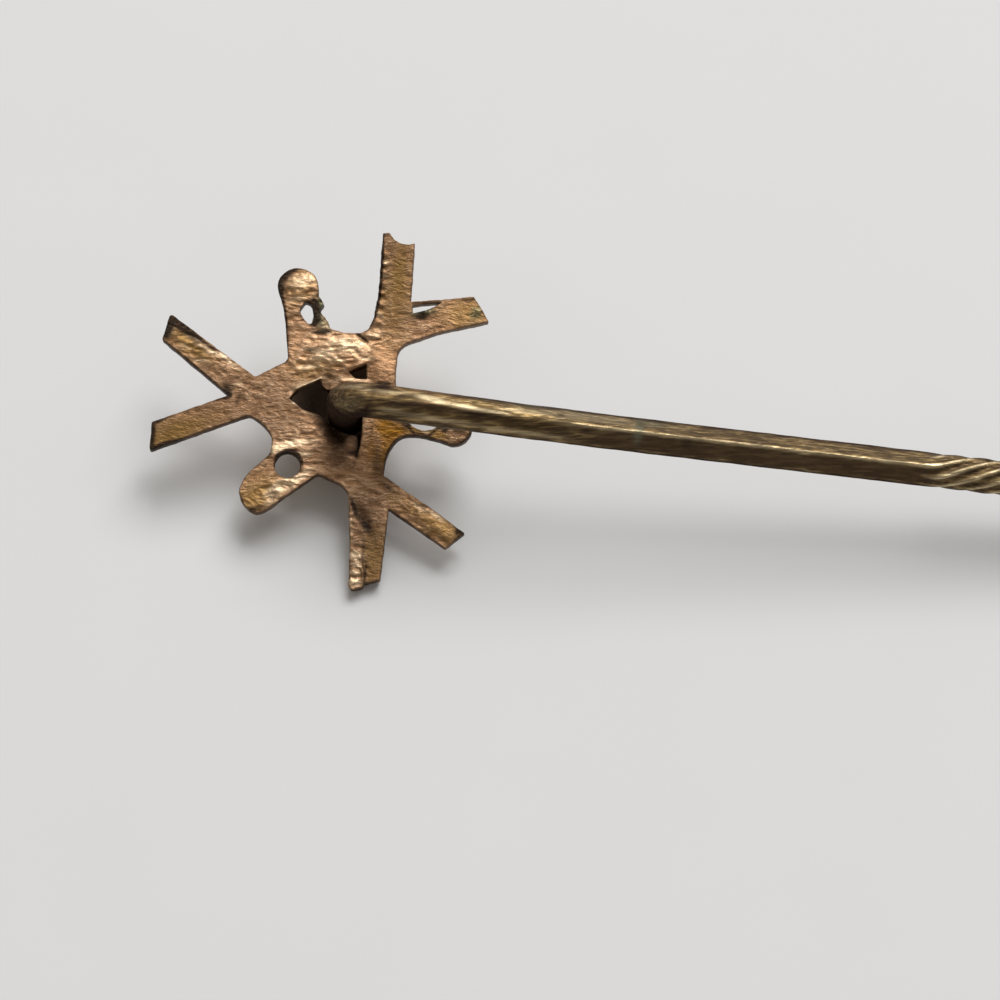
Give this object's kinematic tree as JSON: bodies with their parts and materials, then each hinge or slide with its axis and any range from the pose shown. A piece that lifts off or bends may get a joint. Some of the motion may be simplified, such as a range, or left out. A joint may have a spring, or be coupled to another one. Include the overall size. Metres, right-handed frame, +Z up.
{
  "type": "stick pin",
  "caption": "Stick pin lying face down: a sawn star of thin sheet with pierced tabs and a domed boss, on a bent wire stem that is round, square, twisted and then pointed.",
  "frame": {"origin": "on the surface that the pin lies on, under the middle of its bounding box", "axes": "+X along the pin from the star towards the point, +Z up, +Y towards the star's raised side"},
  "size_m": [0.0556, 0.0118, 0.0051],
  "materials": {
    "copper_sheet": "worn and rippled, dark at the edges, with a little green tarnish",
    "boss_brass": "plain satin, lightly tarnished",
    "brass_wire": "olive-brown tarnish with bright rubbed ridges"
  },
  "bodies": {
    "root": {"star_plate": "copper_sheet", "front_boss": "boss_brass", "stem": "brass_wire"}
  },
  "joints": []
}
